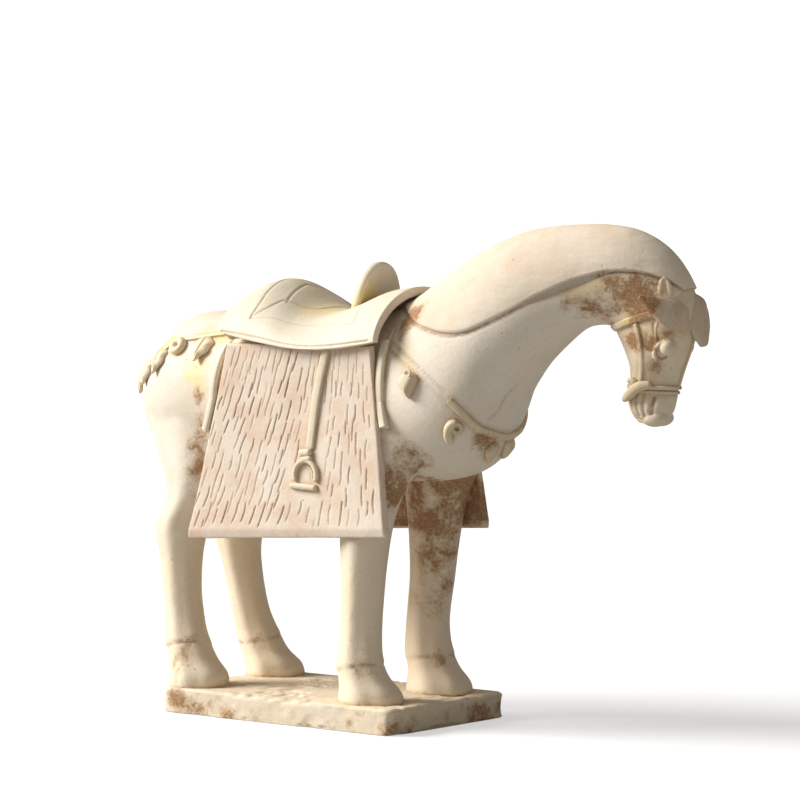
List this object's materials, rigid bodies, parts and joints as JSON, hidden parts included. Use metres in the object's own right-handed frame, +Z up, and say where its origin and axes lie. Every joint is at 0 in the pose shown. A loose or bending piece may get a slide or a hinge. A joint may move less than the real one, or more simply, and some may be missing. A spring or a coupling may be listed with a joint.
{
  "type": "pottery horse figure",
  "caption": "Standing caparisoned pottery horse with bowed neck, roached mane, saddle, fur side panels and moulded harness, fired in one with its slab",
  "frame": {"origin": "middle of the slab's underside box: the bounding box's bottom centre", "axes": "+X is the way the horse faces, +Y its left side, +Z up"},
  "size_m": [0.4042, 0.1128, 0.2966],
  "materials": {
    "glazed_clay": "thin straw glaze, worn matte, with earth stains"
  },
  "bodies": {
    "root": {"pottery_horse": "glazed_clay"}
  },
  "joints": []
}
